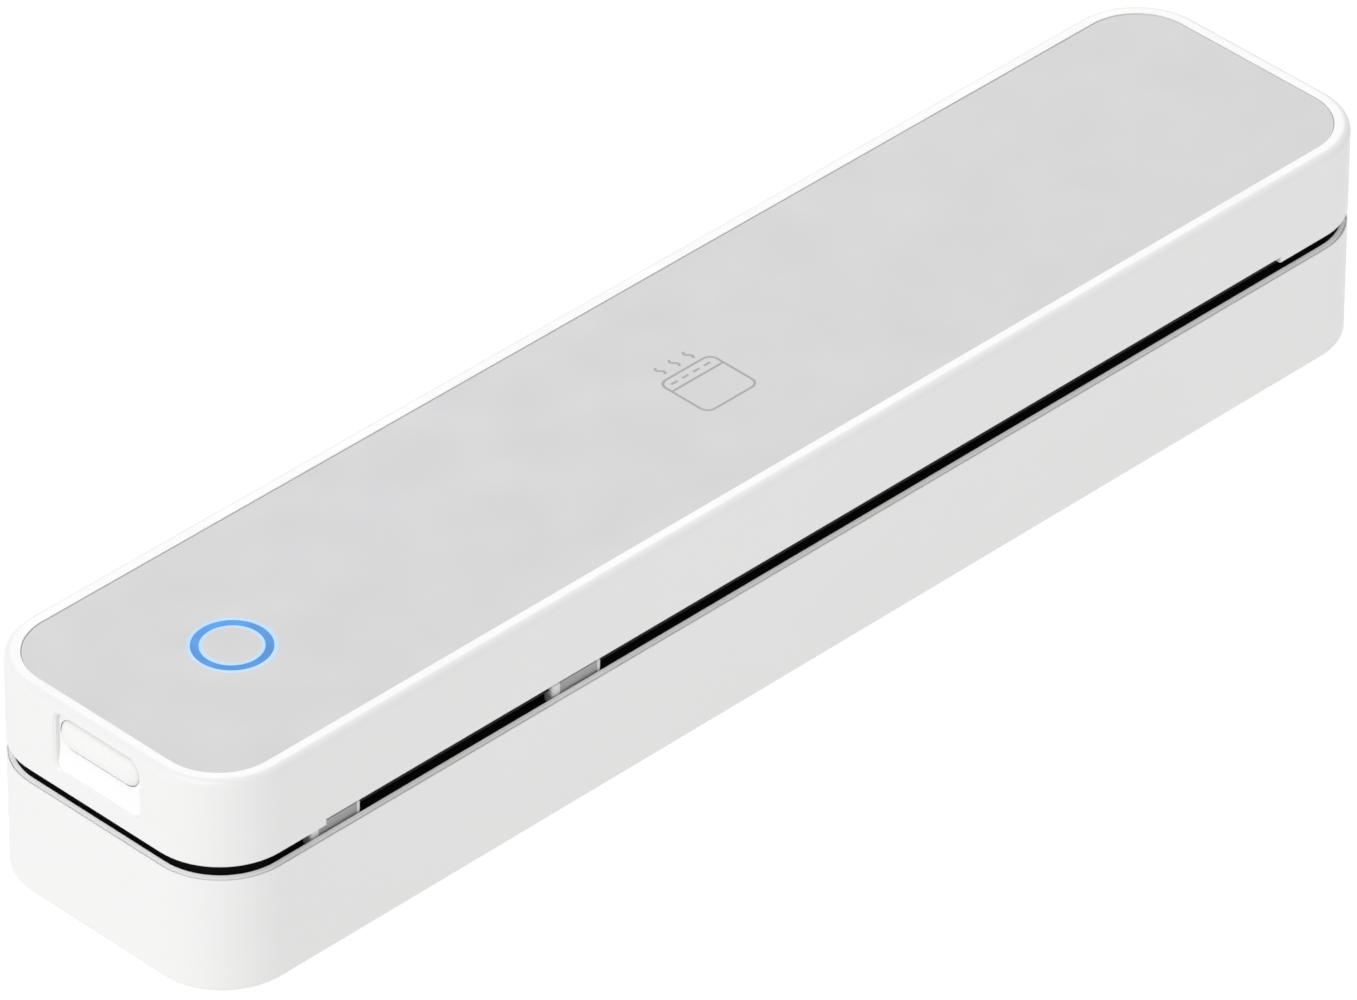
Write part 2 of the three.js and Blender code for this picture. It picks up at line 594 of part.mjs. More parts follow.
function latchButton() {
  const radius = (BAR.z1 - BAR.z0) / 2 - 0.05;
  const outline = roundedRect(BAR.y0, BAR.y1, BAR.z0, BAR.z1, radius);
  const grip = pulled("x", outline, -HALF_X, -HALF_X + BAR.depth, 1.1, 6);
  const stem = box(-HALF_X + BAR.depth - 0.5, HOOK.x0 - 0.1, STEM.y0, STEM.y1, STEM.z0, STEM.z1);
  return join(grip, stem);
}

function latchHook() {
  const profile = [
    [HOOK.x0, 43],
    [HOOK.x0, HOOK.nose],
    [HOOK.tip, HOOK.nose],
    [HOOK.tip, HOOK.nose - 0.5],
    [HOOK.x0, HOOK.bottom],
    [HOOK.x1, HOOK.bottom],
    [HOOK.x1, 43],
  ];
  return bar("y", profile, LATCH_Y - 4.5, LATCH_Y + 4.5);
}

function latchSpring() {
  const from = HOOK.x1 + 0.4;
  const to = -130.4;
  return wire(coil("x", [LATCH_Y, 37], 2, from, to, 5, 10), 0.25, 50, 5);
}

function buildArm() {
  add("arm_shell", armShell(), WHITE);
  add("top_plate", topPlate(), GREY);
  add("light_ring", lightRing(), GLOW);
  add("touch_disc", rod("z", RING.disc, RING.x, RING.y, PLATE.bottom, TOP, 40), GREY);
  add("touch_board", touchBoard(), BOARD_GREEN);
  add("arm_liner", armLiner(), BLACK);
  add("press_bar", pressBar(), STEEL);
  add("silicone_pad", siliconePad(), SILICONE);
  add("latch_spring", latchSpring(), STEEL);
  const rise = [[137.5, -4.5, 29.2], [137.5, -4.5, 34], [120, -3, 37]];
  const run = [[0, 0, 38], [-90, 0, 38], [-96, 0, 38.2], [-102, 0, 39]];
  add("harness_arm", wire([...rise, ...run], 0.9, 34), BLACK);
  let count = 0;
  for (const sx of [-1, 1]) {
    for (const sy of [-1, 1]) {
      count += 1;
      add(`liner_screw_${count}`, linerScrew(sx, sy), STEEL);
    }
  }
}

function buildMovers() {
  add("latch_button", latchButton(), LATCH_WHITE);
  add("latch_hook", latchHook(), STEEL);
  add("switch_plunger", switchPlunger(), BLACK);
}

buildBase();
buildArm();
buildMovers();

export default sealer;
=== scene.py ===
"""Looks of a cordless bag heat sealer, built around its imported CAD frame.

Lengths in this script are millimetres until a mesh is made; Blender's own units are metres.
X runs along the sealer from the latch to the hinge, the slot's front faces -Y, and Z is up.
"""
import json
import math

import bmesh
import bpy
from mathutils import Matrix, Vector


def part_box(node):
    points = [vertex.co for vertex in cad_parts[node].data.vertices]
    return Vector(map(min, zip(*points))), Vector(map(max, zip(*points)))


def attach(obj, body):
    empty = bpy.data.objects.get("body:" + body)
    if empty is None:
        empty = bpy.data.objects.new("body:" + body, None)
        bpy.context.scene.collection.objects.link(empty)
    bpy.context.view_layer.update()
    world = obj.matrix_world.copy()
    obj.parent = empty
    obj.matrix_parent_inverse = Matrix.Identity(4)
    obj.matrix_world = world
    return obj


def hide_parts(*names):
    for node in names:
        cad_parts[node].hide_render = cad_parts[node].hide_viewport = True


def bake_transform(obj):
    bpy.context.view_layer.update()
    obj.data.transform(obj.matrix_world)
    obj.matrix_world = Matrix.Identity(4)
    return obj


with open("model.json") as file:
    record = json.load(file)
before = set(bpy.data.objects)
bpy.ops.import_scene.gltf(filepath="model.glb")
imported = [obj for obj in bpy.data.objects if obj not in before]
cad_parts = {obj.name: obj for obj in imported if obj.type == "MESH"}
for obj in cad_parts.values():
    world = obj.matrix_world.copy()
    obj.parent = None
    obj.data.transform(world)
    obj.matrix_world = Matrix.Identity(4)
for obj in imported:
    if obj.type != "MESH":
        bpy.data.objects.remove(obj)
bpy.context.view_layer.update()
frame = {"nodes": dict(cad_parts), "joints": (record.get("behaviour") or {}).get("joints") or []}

MM = 0.001


# ---------------------------------------------------------------- sizes from the frame
def extent(node):
    """Lowest and highest corner of a CAD node, in millimetres."""
    low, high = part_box(node)
    return low / MM, high / MM


def plan_centre(node):
    """Middle of a CAD node seen from above, in millimetres."""
    low, high = extent(node)
    return (low.x + high.x) / 2, (low.y + high.y) / 2


BOTTOM = extent("base_shell")[0].z
HALF_X, HALF_Y, TOP = extent("arm_shell")[1]
PLATE_LOW, PLATE_HIGH = extent("top_plate")
DECK_LOW, DECK_HIGH = extent("base_deck")
LINER_LOW = extent("arm_liner")[0]
BAR_LOW, BAR_HIGH = extent("latch_button")
SOCKET_LOW, SOCKET_HIGH = extent("charge_socket")
SOCKET_Z = (SOCKET_LOW.z + SOCKET_HIGH.z) / 2
HINGE = Vector(frame["joints"][0]["pos_m"]) / MM

# both casings
CORNER = 15.0  # radius of the corners seen from above
WALL = 2.2
SLOT = 2.6  # height of the slot all round, with the hinge axis in its middle
RIM_TOP = HINGE.z - SLOT / 2
ARM_BOTTOM = HINGE.z + SLOT / 2

# base
LIP = 1.3  # how far in the rim's inner side stands
DECK_TOP = DECK_LOW.z + 1.5
BASE_POSTS = (134, 20)  # X and Y of the feet, and of the deck's screws above them
POST_JOIN = 12  # height at which a foot's post meets the boss of the screw
SCREW_HOLE = 1.5  # radius

# hinge
KNUCKLE = 3.0  # radius of the knuckles
BORE = 1.25  # radius of the hole for the pin
PIN = 1.15  # radius of the pin
RELIEF = 3.35  # radius of the room round the knuckles
RELIEF_HALF = 14.4  # half the length of that room

# arm
INNER_RIM = 3.1  # how far in the rim's inner side stands
CEILING = 43.6  # underside of the casing's top
ARM_POSTS = (105, 27.2)  # X and Y of the liner's screws
LINER_TOP = 31.8
NOTCH_LEFT, NOTCH_RIGHT, NOTCH_TOP = -123.7, 122.5, 29.55  # raised stretch of the front edge
PANEL = PLATE_HIGH.z - 0.2  # the panel lies a little below the casing's rim
RING_CENTRE = plan_centre("light_ring")
RING_OUTER = 7.5
RING_INNER = 6.0

# latch
WINDOW_LOW, WINDOW_HIGH, WINDOW_RADIUS = (-11.8, 32.5), (9.9, 44.8), 1.8  # corners as (Y, Z)
POCKET_DEPTH = 6.0  # depth of the window's cut
SCOOP_TOP, SCOOP_FOOT, SCOOP_DEPTH = 37.4, 0.42, 1.2  # height of the scoop's top, depth at its foot and top
BAR_ROOM = 0.12  # gap round the latch bar

SHARP = math.radians(34)  # edges that turn more than this stay sharp


# ---------------------------------------------------------------- mesh helpers
def mesh_object(name, points, faces):
    """A new object from points in millimetres."""
    mesh = bpy.data.meshes.new(name)
    mesh.from_pydata([Vector(p) * MM for p in points], [], faces)
    obj = bpy.data.objects.new(name, mesh)
    bpy.context.scene.collection.objects.link(obj)
    clean(obj)
    return obj


def clean(obj, reach=1e-7):
    """Merges doubled points and turns every face outwards."""
    bm = bmesh.new()
    bm.from_mesh(obj.data)
    bmesh.ops.remove_doubles(bm, verts=bm.verts, dist=reach)
    bmesh.ops.recalc_face_normals(bm, faces=bm.faces)
    bm.to_mesh(obj.data)
    bm.free()


def bake_modifiers(obj):
    """Replaces the object's mesh by what its modifiers make of it."""
    graph = bpy.context.evaluated_depsgraph_get()
    made = bpy.data.meshes.new_from_object(obj.evaluated_get(graph))
    obj.modifiers.clear()
    obj.data = made


def combine(obj, other, operation="DIFFERENCE"):
    """Cuts `other` out of obj, or joins it on with UNION, and removes `other`."""
    step = obj.modifiers.new("combine", "BOOLEAN")
    step.operation = operation
    step.solver = "EXACT"
    step.object = other
    bake_modifiers(obj)
    bpy.data.objects.remove(other)
    return obj


def join_on(obj, *others):
    """Joins each of the others on to obj."""
    for other in others:
        combine(obj, other, "UNION")
    return obj


def cut_out(obj, *others):
    """Cuts each of the others out of obj."""
    for other in others:
        combine(obj, other)
    return obj


def smooth(obj):
    """Smooth shading with sharp creases, and normals weighted so that flat faces stay flat."""
    clean(obj)
    for polygon in obj.data.polygons:
        polygon.use_smooth = True
    obj.data.set_sharp_from_angle(angle=SHARP)
    step = obj.modifiers.new("normals", "WEIGHTED_NORMAL")
    step.keep_sharp = True
    step.weight = 80
    bake_modifiers(obj)
    return obj


def quarter(steps):
    """Angles from 0 to a quarter turn, in radians."""
    return [math.pi / 2 * i / steps for i in range(steps + 1)]


def helix(radius, start, end, turns, per_turn, first=0.0):
    """Points of a coil, each (along, u, v) about its axis; first is the angle it starts at."""
    found = []
    for i in range(turns * per_turn + 1):
        turn = 2 * math.pi * i / per_turn + first
        along = start + (end - start) * i / (turns * per_turn)
        found.append((along, radius * math.cos(turn), radius * math.sin(turn)))
    return found


def arc(centre, radius, start, end, steps):
    """Points on an arc about (u, v), with angles in degrees."""
    found = []
    for i in range(steps + 1):
        turn = math.radians(start + (end - start) * i / steps)
        found.append((centre[0] + radius * math.cos(turn), centre[1] + radius * math.sin(turn)))
    return found


def rounded_rectangle(low, high, radius, steps):
    """Outline of a rectangle with round corners, counter-clockwise."""
    radius = max(radius, 0.02)
    (x0, y0), (x1, y1) = low, high
    points = arc((x1 - radius, y0 + radius), radius, -90, 0, steps)
    points += arc((x1 - radius, y1 - radius), radius, 0, 90, steps)
    points += arc((x0 + radius, y1 - radius), radius, 90, 180, steps)
    return points + arc((x0 + radius, y0 + radius), radius, 180, 270, steps)


AXES = {
    "x": lambda u, v, w: (w, u, v),
    "y": lambda u, v, w: (u, w, v),
    "z": lambda u, v, w: (u, v, w),
}


def stack(name, rings, axis="z", closed=False):
    """Skins rings of equal length, each (points, height along the axis). Open stacks get two end faces."""
    count = len(rings[0][0])
    place = AXES[axis]
    points = [place(u, v, w) for ring, w in rings for u, v in ring]
    faces = []
    pairs = len(rings) if closed else len(rings) - 1
    for i in range(pairs):
        a = i * count
        b = ((i + 1) % len(rings)) * count
        for k in range(count):
            n = (k + 1) % count
            faces.append((a + k, a + n, b + n, b + k))
    if not closed:
        last = (len(rings) - 1) * count
        faces.append(tuple(reversed(range(count))))
        faces.append(tuple(range(last, last + count)))
    return mesh_object(name, points, faces)


def casing(name, profile, closed=False, steps=18):
    """Skins a profile of (inset, height) round the casing's plan outline."""
    rings = []
    for inset, height in profile:
        low = (-HALF_X + inset, -HALF_Y + inset)
        high = (HALF_X - inset, HALF_Y - inset)
        rings.append((rounded_rectangle(low, high, CORNER - inset, steps), height))
    return stack(name, rings, closed=closed)


def block(name, low, high, radius, edge, axis="z", steps=6, edge_steps=4):
    """A block with round corners across its axis and rounded edges at both ends."""
    order = {"x": (1, 2, 0), "y": (0, 2, 1), "z": (0, 1, 2)}[axis]
    u0, v0, w0 = (low[i] for i in order)
    u1, v1, w1 = (high[i] for i in order)
    rises = [(edge * (1 - math.sin(t)), edge * (1 - math.cos(t))) for t in quarter(edge_steps)]
    levels = [(inset, w0 + rise) for inset, rise in rises]
    levels += [(inset, w1 - rise) for inset, rise in reversed(rises)]
    rings = []
    for inset, w in levels:
        ring = rounded_rectangle((u0 + inset, v0 + inset), (u1 - inset, v1 - inset), radius - inset, steps)
        rings.append((ring, w))
    return stack(name, rings, axis)


def box(name, low, high):
    """A sharp box, for cutting and joining."""
    ring = [(low[0], low[1]), (high[0], low[1]), (high[0], high[1]), (low[0], high[1])]
    return stack(name, [(ring, low[2]), (ring, high[2])])


def turned(name, profile, centre, axis="z", steps=64):
    """A profile of (radius, height) turned about an axis through centre; a profile off the axis closes."""
    hollow = all(radius > 1e-6 for radius, _ in profile)
    turns = [2 * math.pi * k / steps for k in range(steps)]
    rings = []
    for radius, height in profile:
        radius = max(radius, 1e-4)
        ring = [(centre[0] + radius * math.cos(t), centre[1] + radius * math.sin(t)) for t in turns]
        rings.append((ring, height))
    made = stack(name, rings, axis, closed=hollow)
    clean(made, 1e-6)
    return made


def rod(name, radius, centre, start, end, axis="z", steps=48):
    """A plain cylinder."""
    return turned(name, [(0, start), (radius, start), (radius, end), (0, end)], centre, axis, steps)


def corners(reach):
    """The four places at plus and minus the reach along X and Y."""
    return [(sx * reach[0], sy * reach[1]) for sx in (-1, 1) for sy in (-1, 1)]


def prism(name, outline, start, end, axis="x", edge=0.0):
    """An outline pulled along an axis, with its edges rounded by a bevel."""
    made = stack(name, [(outline, start), (outline, end)], axis)
    if edge:
        bm = bmesh.new()
        bm.from_mesh(made.data)
        crease = math.radians(25)
        sharp = [e for e in bm.edges if len(e.link_faces) == 2 and e.calc_face_angle() > crease]
        rounding = {"segments": 2, "profile": 0.5, "affect": "EDGES", "clamp_overlap": True}
        bmesh.ops.bevel(bm, geom=sharp, offset=edge * MM, **rounding)
        bm.to_mesh(made.data)
        bm.free()
    return made


def tube(name, points, radius, flat=None):
    """A round wire along points; flat gives it another half height, for a printed line."""
    curve = bpy.data.curves.new(name, "CURVE")
    curve.dimensions = "3D"
    spline = curve.splines.new("POLY")
    spline.points.add(len(points) - 1)
    for spot, point in zip(spline.points, points):
        spot.co = (*(Vector(point) * MM), 1)
    curve.bevel_depth = radius * MM
    curve.bevel_resolution = 3
    curve.use_fill_caps = True
    obj = bpy.data.objects.new(name, curve)
    bpy.context.scene.collection.objects.link(obj)
    graph = bpy.context.evaluated_depsgraph_get()
    mesh = bpy.data.meshes.new_from_object(obj.evaluated_get(graph))
    bpy.data.objects.remove(obj)
    made = bpy.data.objects.new(name, mesh)
    bpy.context.scene.collection.objects.link(made)
    if flat:
        level = points[0][2] * MM
        for vertex in mesh.vertices:
            vertex.co.z = level + (vertex.co.z - level) * flat / radius
    clean(made)
    return made


def merge(name, parts):
    """Several loose solids as one object."""
    bm = bmesh.new()
    for part in parts:
        bm.from_mesh(part.data)
        bpy.data.objects.remove(part)
    mesh = bpy.data.meshes.new(name)
    bm.to_mesh(mesh)
    bm.free()
    obj = bpy.data.objects.new(name, mesh)
    bpy.context.scene.collection.objects.link(obj)
    return obj


# ---------------------------------------------------------------- materials
class Finish:
    """A Principled material with helpers for its node graph."""

    def __init__(self, name, color, roughness, metallic=0.0):
        self.material = bpy.data.materials.new(name)
        self.material.use_nodes = True
        self.tree = self.material.node_tree
        self.shader = self.tree.nodes["Principled BSDF"]
        self.color = (*color, 1.0)
        self.shader.inputs["Base Color"].default_value = self.color
        self.shader.inputs["Roughness"].default_value = roughness
        self.shader.inputs["Metallic"].default_value = metallic
        self.place = self.node("ShaderNodeTexCoord").outputs["Object"]

    def node(self, kind, **settings):
        made = self.tree.nodes.new(kind)
        for key, value in settings.items():
            setattr(made, key, value)
        return made

    def link(self, source, target):
        self.tree.links.new(source, target)

    def noise(self, scale, detail=2.0, stretch=None):
        made = self.node("ShaderNodeTexNoise")
        made.inputs["Scale"].default_value = scale
        made.inputs["Detail"].default_value = detail
        source = self.place
        if stretch:
            mapping = self.node("ShaderNodeMapping")
            mapping.inputs["Scale"].default_value = stretch
            self.link(source, mapping.inputs["Vector"])
            source = mapping.outputs["Vector"]
        self.link(source, made.inputs["Vector"])
        return made.outputs["Fac"]

    def between(self, value, low, high, start=0.3, end=0.7):
        """Maps a value from start..end to low..high."""
        made = self.node("ShaderNodeMapRange")
        made.inputs["From Min"].default_value = start
        made.inputs["From Max"].default_value = end
        made.inputs["To Min"].default_value = low
        made.inputs["To Max"].default_value = high
        self.link(value, made.inputs["Value"])
        return made.outputs["Result"]

    def mix(self, factor, first, second):
        made = self.node("ShaderNodeMix", data_type="RGBA")
        for socket, value in ((made.inputs[6], first), (made.inputs[7], second)):
            if isinstance(value, tuple):
                socket.default_value = value
            else:
                self.link(value, socket)
        self.link(factor, made.inputs[0])
        return made.outputs[2]

    def tint(self, factor, other):
        """Lets the colour drift towards another one."""
        mixed = self.mix(factor, self.color, (*other, 1.0))
        self.link(mixed, self.shader.inputs["Base Color"])

    def roughness(self, value):
        self.link(value, self.shader.inputs["Roughness"])

    def bump(self, *layers):
        """Layers are (height, distance in millimetres, strength)."""
        normal = None
        for height, distance, strength in layers:
            made = self.node("ShaderNodeBump")
            made.inputs["Distance"].default_value = distance * MM
            made.inputs["Strength"].default_value = strength
            self.link(height, made.inputs["Height"])
            if normal:
                self.link(normal, made.inputs["Normal"])
            normal = made.outputs["Normal"]
        self.link(normal, self.shader.inputs["Normal"])


def per_mm(length):
    """Noise scale whose features are about that many millimetres across."""
    return 1 / (length * MM)


def moulded(name, color, roughness, grain, depth, drift):
    """Moulded plastic: a fine grain of that width and depth, faint mottling by `drift`, uneven gloss."""
    made = Finish(name, color, roughness)
    darker = tuple(c * (1 - drift) for c in color)
    made.tint(made.between(made.noise(per_mm(60), 3), 0, 1), darker)
    made.roughness(made.between(made.noise(per_mm(9), 3), roughness - 0.04, roughness + 0.05))
    made.bump((made.noise(per_mm(grain), 2), depth, 0.25), (made.noise(per_mm(25), 1), 0.05, 0.08))
    return made


def metal(name, color, roughness, along=(1, 30, 30)):
    """Drawn or brushed metal; `along` sets how the noise is squeezed, so its lines run along X."""
    made = Finish(name, color, roughness, metallic=1.0)
    lines = made.noise(per_mm(1.2), 3, along)
    made.tint(made.between(lines, 0, 0.5), tuple(c * 0.7 for c in color))
    made.roughness(made.between(lines, roughness - 0.06, roughness + 0.12))
    made.bump((lines, 0.01, 0.3))
    return made


def glow_amount(made):
    """Share of the ring's light that shows at a point: full beside the ring, fading within a millimetre."""
    middle = (RING_OUTER + RING_INNER) / 2
    full, gone = 1.0, 1.75  # distances from the middle of the ring's width
    split = made.node("ShaderNodeSeparateXYZ")
    made.link(made.place, split.inputs["Vector"])
    flat = made.node("ShaderNodeCombineXYZ")
    made.link(split.outputs["X"], flat.inputs["X"])
    made.link(split.outputs["Y"], flat.inputs["Y"])
    distance = made.node("ShaderNodeVectorMath", operation="DISTANCE")
    made.link(flat.outputs["Vector"], distance.inputs[0])
    distance.inputs[1].default_value = (RING_CENTRE[0] * MM, RING_CENTRE[1] * MM, 0)
    aside = made.node("ShaderNodeMath", operation="SUBTRACT")
    made.link(distance.outputs["Value"], aside.inputs[0])
    aside.inputs[1].default_value = middle * MM
    away = made.node("ShaderNodeMath", operation="ABSOLUTE")
    made.link(aside.outputs["Value"], away.inputs[0])
    near = made.node("ShaderNodeMapRange", interpolation_type="SMOOTHSTEP")
    made.link(away.outputs["Value"], near.inputs["Value"])
    near.inputs["From Min"].default_value = full * MM
    near.inputs["From Max"].default_value = gone * MM
    near.inputs["To Min"].default_value = 1.0
    near.inputs["To Max"].default_value = 0.0
    return near.outputs["Result"]


WHITE = moulded("white_moulding", (0.86, 0.86, 0.855), 0.34, grain=0.35, depth=0.012, drift=0.015)
# Paler, glossier copy of the white moulding for the latch insert: the paler colour is painted light, so the
# scoop reads brighter than the walls.
LIT_LATCH_WHITE = moulded("latch_moulding_painted_bright", (0.93, 0.93, 0.925), 0.3, grain=0.5, depth=0.006, drift=0.01)
BAR_WHITE = moulded("bar_moulding", (0.87, 0.87, 0.865), 0.28, grain=0.5, depth=0.006, drift=0.01)
BLACK = moulded("black_moulding", (0.006, 0.006, 0.0065), 0.62, grain=0.3, depth=0.03, drift=0.3)
STOP_GREY = moulded("grey_moulding", (0.42, 0.42, 0.425), 0.3, grain=0.3, depth=0.01, drift=0.05)
DARK = moulded("dark_moulding", (0.025, 0.027, 0.03), 0.55, grain=0.4, depth=0.03, drift=0.2)
RUBBER = moulded("foot_rubber", (0.02, 0.02, 0.021), 0.8, grain=0.2, depth=0.04, drift=0.3)
SILICONE = moulded("pad_silicone", (0.25, 0.05, 0.03), 0.6, grain=0.5, depth=0.02, drift=0.15)
RED = moulded("lead_red", (0.4, 0.02, 0.015), 0.5, grain=0.6, depth=0.02, drift=0.15)
LEAD_BLACK = moulded("lead_black", (0.012, 0.012, 0.013), 0.5, grain=0.6, depth=0.02, drift=0.15)
WRAP = moulded("cell_film", (0.05, 0.16, 0.32), 0.28, grain=3.0, depth=0.03, drift=0.12)
STEEL = metal("steel", (0.6, 0.61, 0.63), 0.3)
SPRING_STEEL = metal("spring_steel", (0.5, 0.51, 0.53), 0.26, (3, 3, 3))
BRASS = metal("brass", (0.72, 0.52, 0.23), 0.3)
PRINT = moulded("grey_print", (0.37, 0.37, 0.375), 0.5, grain=0.3, depth=0.005, drift=0.05)


def plate_finish():
    """Satin painted plate: very fine grain, with the ring's light bleeding into it."""
    made = Finish("satin_plate", (0.6, 0.6, 0.612), 0.42)
    mottle = made.between(made.noise(per_mm(90), 2), 0, 1)
    drifting = made.mix(mottle, made.color, (0.594, 0.59, 0.588, 1))
    made.roughness(made.between(made.noise(per_mm(12), 3), 0.38, 0.47))
    made.bump((made.noise(per_mm(0.18), 2), 0.01, 0.2))
    glow = glow_amount(made)
    made.link(made.mix(glow, drifting, (0.42, 0.56, 0.63, 1)), made.shader.inputs["Base Color"])
    made.shader.inputs["Emission Color"].default_value = (0.02, 0.3, 1.0, 1.0)
    made.link(made.between(glow, 0.0, 0.5, 0.0, 1.0), made.shader.inputs["Emission Strength"])
    return made


def ring_finish():
    """Lit diffuser, with a slight unevenness over the lamps."""
    made = Finish("lit_diffuser", (0.02, 0.1, 0.3), 0.45)
    made.shader.inputs["Specular IOR Level"].default_value = 0.2
    made.shader.inputs["Emission Color"].default_value = (0.1, 0.32, 0.66, 1.0)
    made.link(made.between(made.noise(per_mm(5), 1), 0.5, 0.72), made.shader.inputs["Emission Strength"])
    made.bump((made.noise(per_mm(0.4), 2), 0.01, 0.2))
    return made


def woven_finish():
    """Coated glass cloth: a plain weave under a brown slip coating."""
    made = Finish("coated_cloth", (0.2, 0.1, 0.045), 0.42)
    yarn = 0.5  # width of a yarn
    crossing = []
    for direction in ("X", "Y"):
        wave = made.node("ShaderNodeTexWave", wave_type="BANDS", bands_direction=direction)
        wave.inputs["Scale"].default_value = per_mm(yarn) / 6.283
        wave.inputs["Distortion"].default_value = 0.4
        made.link(made.place, wave.inputs["Vector"])
        crossing.append(wave.outputs["Fac"])
    weave = made.node("ShaderNodeMath", operation="MULTIPLY")
    made.link(crossing[0], weave.inputs[0])
    made.link(crossing[1], weave.inputs[1])
    made.tint(made.between(weave.outputs["Value"], 0, 1, 0, 1), (0.3, 0.17, 0.08))
    made.bump((weave.outputs["Value"], 0.05, 0.5))
    return made


def board_finish():
    """Solder mask over woven glass, with faint copper runs."""
    made = Finish("circuit_board", (0.015, 0.1, 0.05), 0.35)
    runs = made.node("ShaderNodeTexBrick")
    runs.inputs["Scale"].default_value = per_mm(4)
    runs.inputs["Mortar Size"].default_value = 0.04
    runs.inputs["Color1"].default_value = (0.012, 0.085, 0.04, 1)
    runs.inputs["Color2"].default_value = (0.018, 0.12, 0.06, 1)
    runs.inputs["Mortar"].default_value = (0.04, 0.2, 0.09, 1)
    made.link(made.place, runs.inputs["Vector"])
    made.link(runs.outputs["Color"], made.shader.inputs["Base Color"])
    made.bump((made.noise(per_mm(0.5), 2), 0.02, 0.2))
    return made


PLATE = plate_finish()
GLOW = ring_finish()
CLOTH = woven_finish()
BOARD = board_finish()


# ---------------------------------------------------------------- placing pieces
def paint(obj, finish):
    """Smooths a mesh and gives it its material."""
    smooth(obj)
    obj.data.materials.clear()
    obj.data.materials.append(finish.material)


def piece(obj, body, finish, replaced=()):
    """Finishes a piece: its material, the body it rides on and the CAD nodes it stands for."""
    paint(obj, finish)
    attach(obj, body)
    if replaced:
        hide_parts(*replaced)


def dress(node, finish):
    """Gives a CAD node that stays its finished material."""
    obj = frame["nodes"][node]
    obj.material_slots[0].material = finish.material


# ---------------------------------------------------------------- base
def knuckle(name, start, end, reach):
    """A hinge knuckle with the web that carries it; reach is the height at which the web ends."""
    low, high = sorted((HINGE.z, reach))
    web = box(name + "_web", (HINGE.x - KNUCKLE, start, low), (HALF_X, end, high))
    barrel = rod(name, KNUCKLE, (HINGE.x, HINGE.z), start, end, "y")
    return join_on(barrel, web)


def relief_cut():
    """Room for the other casing's knuckles to turn in."""
    return rod("relief", RELIEF, (HINGE.x, HINGE.z), -RELIEF_HALF, RELIEF_HALF, "y")


def pin_bore():
    """The hole through the knuckles."""
    return rod("bore", BORE, (HINGE.x, HINGE.z), -RELIEF_HALF, RELIEF_HALF, "y", 32)


def base_casing():
    """Tub with a stepped rim: an outer shoulder, a fine groove, and an inner lip that borders the slot."""
    foot, shoulder, step = 0.8, 0.2, 0.38
    groove, groove_depth, fall = 0.2, 0.5, 0.28
    profile = arc((foot, BOTTOM + foot), foot, 270, 180, 6)
    profile += arc((shoulder, RIM_TOP - step - shoulder), shoulder, 180, 90, 6)
    profile += [(shoulder + 0.02, RIM_TOP - step - groove_depth)]
    profile += [(shoulder + groove, RIM_TOP - step - groove_depth)]
    profile += arc((shoulder + groove + 0.08, RIM_TOP - fall - 0.08), 0.08, 180, 100, 3)
    profile += arc((LIP - 0.15, RIM_TOP - 0.15), 0.15, 90, 0, 3)
    ledge = DECK_LOW.z - 0.1
    profile += [(LIP, ledge), (WALL, ledge), (WALL, BOTTOM + WALL)]
    shell = casing("base_casing", profile)
    cut_out(shell, relief_cut())
    join_on(shell, knuckle("middle_knuckle", -4.5, 4.5, DECK_LOW.z - 1))
    cut_out(shell, pin_bore(), socket_mouth())
    pilot, radius = 1.3, 3  # the screw's hole and the post round it
    for spot in corners(BASE_POSTS):
        cut_out(shell, rod("foot_recess", 4.8, spot, 0, BOTTOM + 0.6))
        sleeve = [(pilot, POST_JOIN), (radius, POST_JOIN), (radius, ledge), (pilot, ledge)]
        boss = turned("boss", sleeve, spot, steps=32)
        post = rod("post", radius, spot, BOTTOM + 1.5, POST_JOIN + 0.01, steps=32)
        join_on(shell, join_on(boss, post))
    piece(shell, "base", WHITE, ["base_shell"])


def stadium(grow):
    """Outline of the charging socket, larger by `grow` all round."""
    half_w = SOCKET_HIGH.y + grow
    half_h = (SOCKET_HIGH.z - SOCKET_LOW.z) / 2 + grow
    return rounded_rectangle((-half_w, SOCKET_Z - half_h), (half_w, SOCKET_Z + half_h), half_h - 0.03, 10)


def socket_mouth():
    """Charging inlet: a stadium hole whose outer edge is softly rounded."""
    room, edge = 0.3, 0.6
    rings = [(stadium(room), HALF_X - WALL - 1), (stadium(room), HALF_X - edge)]
    for t in quarter(4)[1:]:
        rings.append((stadium(room + edge * (1 - math.cos(t))), HALF_X - edge * (1 - math.sin(t))))
    rings.append((stadium(room + edge), HALF_X + 1))
    return stack("socket_mouth", rings, "x")


